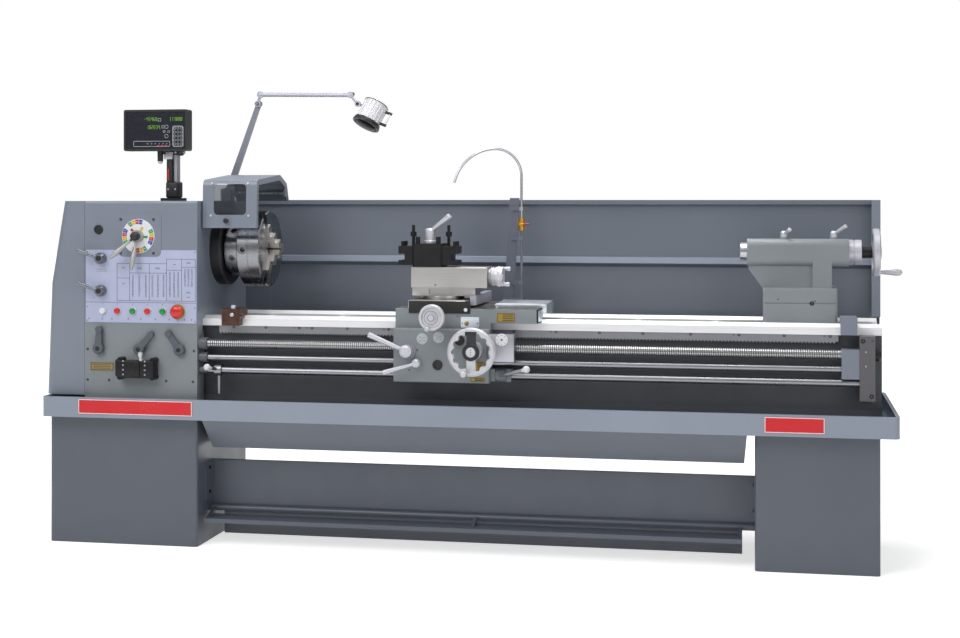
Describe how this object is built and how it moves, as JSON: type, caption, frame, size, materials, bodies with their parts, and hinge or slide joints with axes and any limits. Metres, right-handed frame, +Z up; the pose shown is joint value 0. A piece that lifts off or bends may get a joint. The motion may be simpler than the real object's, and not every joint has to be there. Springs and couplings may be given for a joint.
{
  "type": "engine lathe",
  "caption": "Manual engine lathe with chip tray, splash guard, readout, work lamp, chuck guard, full-length foot brake and working slides, wheels and levers.",
  "frame": {"origin": "on the floor under the middle of the machine's length and depth", "axes": "+X along the bed from the headstock to the tailstock, +Y from the operator to the back, +Z up"},
  "size_m": [3.299, 0.862, 1.7985],
  "materials": {
    "cabinet_paint": "semi-gloss",
    "grey_paint": "semi-gloss",
    "dark_iron": "painted dark",
    "steel": "ground",
    "cast_paint": "semi-gloss",
    "black_paint": "satin",
    "belt_rubber": "matt",
    "chrome": "polished",
    "ground_iron": "ground",
    "aluminium": "satin",
    "red_plastic": "gloss",
    "black_plastic": "matt"
  },
  "bodies": {
    "frame": {"left_cabinet": "cabinet_paint", "right_cabinet": "cabinet_paint", "chip_tray": "grey_paint", "front_panel": "cabinet_paint", "bed": "dark_iron", "rack": "steel", "headstock": "grey_paint", "feed_gearbox": "cast_paint", "spindle_bearings": "black_paint", "drive_belts": "belt_rubber", "motor": "cast_paint", "bed_fittings": "cast_paint", "splash_guard": "grey_paint", "control_panel": "aluminium"},
    "spindle": {"spindle": "steel", "chuck_body": "steel"},
    "jaw_1": {"chuck_jaw_1": "steel"},
    "jaw_2": {"chuck_jaw_2": "steel"},
    "jaw_3": {"chuck_jaw_3": "steel"},
    "guard": {"chuck_guard": "grey_paint"},
    "cover": {"end_cover": "grey_paint"},
    "idler": {"idler_gear": "steel"},
    "feed_input": {"feed_gear": "steel"},
    "input_pulley": {"input_pulley": "dark_iron"},
    "motor_pulley": {"motor_pulley": "dark_iron"},
    "leadscrew": {"leadscrew": "steel"},
    "feed_rod": {"feed_rod": "steel"},
    "control_rod": {"control_rod": "steel"},
    "carriage": {"saddle": "cast_paint", "apron": "cast_paint", "coolant_pipe": "steel"},
    "control_lever": {"control_lever": "steel"},
    "carriage_wheel": {"carriage_wheel": "chrome"},
    "cross_wheel": {"cross_wheel": "chrome"},
    "halfnut_lever": {"halfnut_lever": "chrome"},
    "feed_lever": {"feed_lever": "chrome"},
    "cross_slide": {"cross_slide": "ground_iron"},
    "compound": {"compound_base": "ground_iron"},
    "top_slide": {"top_slide": "ground_iron", "tool_post": "black_paint"},
    "top_crank": {"top_crank": "chrome"},
    "post_lever": {"tool_post_lever": "steel"},
    "tailstock": {"tailstock": "cast_paint"},
    "quill": {"quill": "steel"},
    "tail_wheel": {"tail_wheel": "steel"},
    "quill_lever": {"quill_lever": "chrome"},
    "tail_clamp": {"tail_clamp_lever": "chrome"},
    "pedal": {"foot_pedal": "cabinet_paint"},
    "stop_button": {"stop_button": "red_plastic"},
    "speed_long": {"speed_lever_long": "chrome"},
    "speed_short": {"speed_lever_short": "chrome"},
    "range_lever": {"range_lever": "chrome"},
    "reverse_lever": {"reverse_lever": "chrome"},
    "selector_1": {"feed_selector_1": "dark_iron"},
    "selector_2": {"feed_selector_2": "dark_iron"},
    "selector_3": {"feed_selector_3": "dark_iron"},
    "display": {"dro_display": "black_plastic"},
    "lamp_lower": {"lamp_arm_lower": "aluminium"},
    "lamp_upper": {"lamp_arm_upper": "aluminium"},
    "lamp_head": {"lamp_head": "aluminium"}
  },
  "joints": [
    {"name": "spindle_spin", "type": "hinge", "parent": "frame", "child": "spindle", "pos_m": [-0.912, 0.036, 1.149], "axis": [1, 0, 0], "continuous": true},
    {"name": "jaw_1_slide", "type": "slide", "parent": "spindle", "child": "jaw_1", "axis": [0, -0.5, 0.866], "range_m": [0, 0.045]},
    {"name": "jaw_2_slide", "type": "slide", "parent": "spindle", "child": "jaw_2", "axis": [0, -0.5, -0.866], "range_m": [0, 0.045]},
    {"name": "jaw_3_slide", "type": "slide", "parent": "spindle", "child": "jaw_3", "axis": [0, 1, 0], "range_m": [0, 0.045]},
    {"name": "idler_spin", "type": "hinge", "parent": "frame", "child": "idler", "pos_m": [-1.542, -0.08097, 0.99173], "axis": [1, 0, 0], "continuous": true},
    {"name": "feed_gear_spin", "type": "hinge", "parent": "frame", "child": "feed_input", "pos_m": [-1.542, -0.186, 0.8505], "axis": [1, 0, 0], "continuous": true},
    {"name": "input_pulley_spin", "type": "hinge", "parent": "frame", "child": "input_pulley", "pos_m": [-1.604, 0.176, 1.01], "axis": [1, 0, 0], "continuous": true},
    {"name": "motor_pulley_spin", "type": "hinge", "parent": "frame", "child": "motor_pulley", "pos_m": [-1.604, 0.136, 0.262], "axis": [1, 0, 0], "continuous": true},
    {"name": "leadscrew_spin", "type": "hinge", "parent": "frame", "child": "leadscrew", "pos_m": [-1.075, -0.214, 0.788], "axis": [1, 0, 0], "continuous": true},
    {"name": "feed_rod_spin", "type": "hinge", "parent": "frame", "child": "feed_rod", "pos_m": [-1.075, -0.214, 0.735], "axis": [1, 0, 0], "continuous": true},
    {"name": "control_rod_turn", "type": "hinge", "parent": "frame", "child": "control_rod", "pos_m": [-0.958, -0.214, 0.686], "axis": [1, 0, 0], "range_deg": [-20, 20]},
    {"name": "guard_hinge", "type": "hinge", "parent": "frame", "child": "guard", "pos_m": [-1.019, 0.181, 1.374], "axis": [-1, 0, 0], "range_deg": [0, 80]},
    {"name": "cover_hinge", "type": "hinge", "parent": "frame", "child": "cover", "pos_m": [-1.49, 0.34, 0.96], "axis": [0, 0, -1], "range_deg": [0, 100]},
    {"name": "carriage_slide", "type": "slide", "parent": "frame", "child": "carriage", "axis": [1, 0, 0], "range_m": [-0.45, 0.7]},
    {"name": "carriage_wheel_turn", "type": "hinge", "parent": "carriage", "child": "carriage_wheel", "pos_m": [0.078, -0.362, 0.786], "axis": [0, 1, 0], "continuous": true},
    {"name": "control_lever_turn", "type": "hinge", "parent": "carriage", "child": "control_lever", "pos_m": [0.158, -0.214, 0.686], "axis": [1, 0, 0], "range_deg": [-20, 20]},
    {"name": "halfnut_turn", "type": "hinge", "parent": "carriage", "child": "halfnut_lever", "pos_m": [-0.184, -0.272, 0.779], "axis": [0, 1, 0], "range_deg": [-10, 25]},
    {"name": "feed_lever_turn", "type": "hinge", "parent": "carriage", "child": "feed_lever", "pos_m": [-0.147, -0.272, 0.733], "axis": [0, 1, 0], "range_deg": [-25, 10]},
    {"name": "cross_slide_move", "type": "slide", "parent": "carriage", "child": "cross_slide", "axis": [0, 1, 0], "range_m": [-0.035, 0.1]},
    {"name": "cross_wheel_turn", "type": "hinge", "parent": "carriage", "child": "cross_wheel", "pos_m": [-0.07, -0.366, 0.911], "axis": [0, 1, 0], "continuous": true},
    {"name": "compound_swivel", "type": "hinge", "parent": "cross_slide", "child": "compound", "pos_m": [-0.08, -0.092, 0.966], "axis": [0, 0, 1], "range_deg": [-30, 30]},
    {"name": "top_slide_move", "type": "slide", "parent": "compound", "child": "top_slide", "axis": [1, 0, 0], "range_m": [-0.04, 0.06]},
    {"name": "top_crank_turn", "type": "hinge", "parent": "top_slide", "child": "top_crank", "pos_m": [0.1, -0.092, 1.052], "axis": [1, 0, 0], "continuous": true},
    {"name": "post_lever_turn", "type": "hinge", "parent": "top_slide", "child": "post_lever", "pos_m": [-0.134, -0.092, 1.178], "axis": [0, 0, 1], "range_deg": [-20, 70]},
    {"name": "tailstock_slide", "type": "slide", "parent": "frame", "child": "tailstock", "axis": [1, 0, 0], "range_m": [-0.7, 0.1]},
    {"name": "quill_slide", "type": "slide", "parent": "tailstock", "child": "quill", "axis": [-1, 0, 0], "range_m": [0, 0.15]},
    {"name": "tail_wheel_turn", "type": "hinge", "parent": "tailstock", "child": "tail_wheel", "pos_m": [1.534, 0.036, 1.149], "axis": [1, 0, 0], "continuous": true},
    {"name": "quill_lever_turn", "type": "hinge", "parent": "tailstock", "child": "quill_lever", "pos_m": [1.208, 0.026, 1.204], "axis": [0, 0, 1], "range_deg": [-30, 30]},
    {"name": "tail_clamp_turn", "type": "hinge", "parent": "tailstock", "child": "tail_clamp", "pos_m": [1.392, 0.036, 1.204], "axis": [0, 0, 1], "range_deg": [-30, 60]},
    {"name": "pedal_pivot", "type": "hinge", "parent": "frame", "child": "pedal", "pos_m": [-1.025, -0.086, 0.126], "axis": [1, 0, 0], "range_deg": [0, 12], "stiffness_Nm_per_rad": 60, "springref_deg": -20.05},
    {"name": "stop_button_push", "type": "slide", "parent": "frame", "child": "stop_button", "axis": [0, 1, 0], "range_m": [0, 0.006], "stiffness_N_per_m": 500, "springref_m": -0.002},
    {"name": "speed_long_turn", "type": "hinge", "parent": "frame", "child": "speed_long", "pos_m": [-1.266, -0.241, 1.204], "axis": [0, 1, 0], "range_deg": [-40, 15]},
    {"name": "speed_short_turn", "type": "hinge", "parent": "frame", "child": "speed_short", "pos_m": [-1.266, -0.241, 1.204], "axis": [0, 1, 0], "range_deg": [-15, 40]},
    {"name": "range_turn", "type": "hinge", "parent": "frame", "child": "range_lever", "pos_m": [-1.419, -0.241, 1.117], "axis": [0, 1, 0], "range_deg": [-30, 30]},
    {"name": "reverse_turn", "type": "hinge", "parent": "frame", "child": "reverse_lever", "pos_m": [-1.419, -0.241, 0.99], "axis": [0, 1, 0], "range_deg": [-30, 30]},
    {"name": "selector_1_turn", "type": "hinge", "parent": "frame", "child": "selector_1", "pos_m": [-1.428, -0.241, 0.764], "axis": [0, 1, 0], "range_deg": [-40, 40]},
    {"name": "selector_2_turn", "type": "hinge", "parent": "frame", "child": "selector_2", "pos_m": [-1.26, -0.241, 0.764], "axis": [0, 1, 0], "range_deg": [-70, 10]},
    {"name": "selector_3_turn", "type": "hinge", "parent": "frame", "child": "selector_3", "pos_m": [-1.094, -0.241, 0.764], "axis": [0, 1, 0], "range_deg": [-10, 70]},
    {"name": "display_tilt", "type": "hinge", "parent": "frame", "child": "display", "pos_m": [-1.205, -0.024, 1.538], "axis": [1, 0, 0], "range_deg": [-15, 15]},
    {"name": "lamp_swivel", "type": "hinge", "parent": "frame", "child": "lamp_lower", "pos_m": [-1.082, 0.276, 1.361], "axis": [0, 0, 1], "range_deg": [-70, 30]},
    {"name": "lamp_elbow", "type": "hinge", "parent": "lamp_lower", "child": "lamp_upper", "pos_m": [-0.95, 0.276, 1.747], "axis": [0, 1, 0], "range_deg": [-25, 25]},
    {"name": "lamp_tilt", "type": "hinge", "parent": "lamp_upper", "child": "lamp_head", "pos_m": [-0.518, 0.276, 1.742], "axis": [0, 1, 0], "range_deg": [-30, 30]}
  ],
  "couplings": [
    {"joint": "jaw_2_slide", "follows": "jaw_1_slide", "ratio": 1},
    {"joint": "jaw_3_slide", "follows": "jaw_1_slide", "ratio": 1},
    {"joint": "idler_spin", "follows": "spindle_spin", "ratio": -0.44118},
    {"joint": "feed_gear_spin", "follows": "spindle_spin", "ratio": 1.5},
    {"joint": "input_pulley_spin", "follows": "spindle_spin", "ratio": 1.5},
    {"joint": "motor_pulley_spin", "follows": "spindle_spin", "ratio": 2.4},
    {"joint": "leadscrew_spin", "follows": "spindle_spin", "ratio": 0.75},
    {"joint": "feed_rod_spin", "follows": "spindle_spin", "ratio": 0.3},
    {"joint": "control_lever_turn", "follows": "control_rod_turn", "ratio": 1},
    {"joint": "carriage_wheel_turn", "follows": "carriage_slide", "rad_per_m": 261.8},
    {"joint": "cross_wheel_turn", "follows": "cross_slide_move", "rad_per_m": 1256.6},
    {"joint": "top_crank_turn", "follows": "top_slide_move", "rad_per_m": 1256.6},
    {"joint": "tail_wheel_turn", "follows": "quill_slide", "rad_per_m": -1256.6}
  ]
}
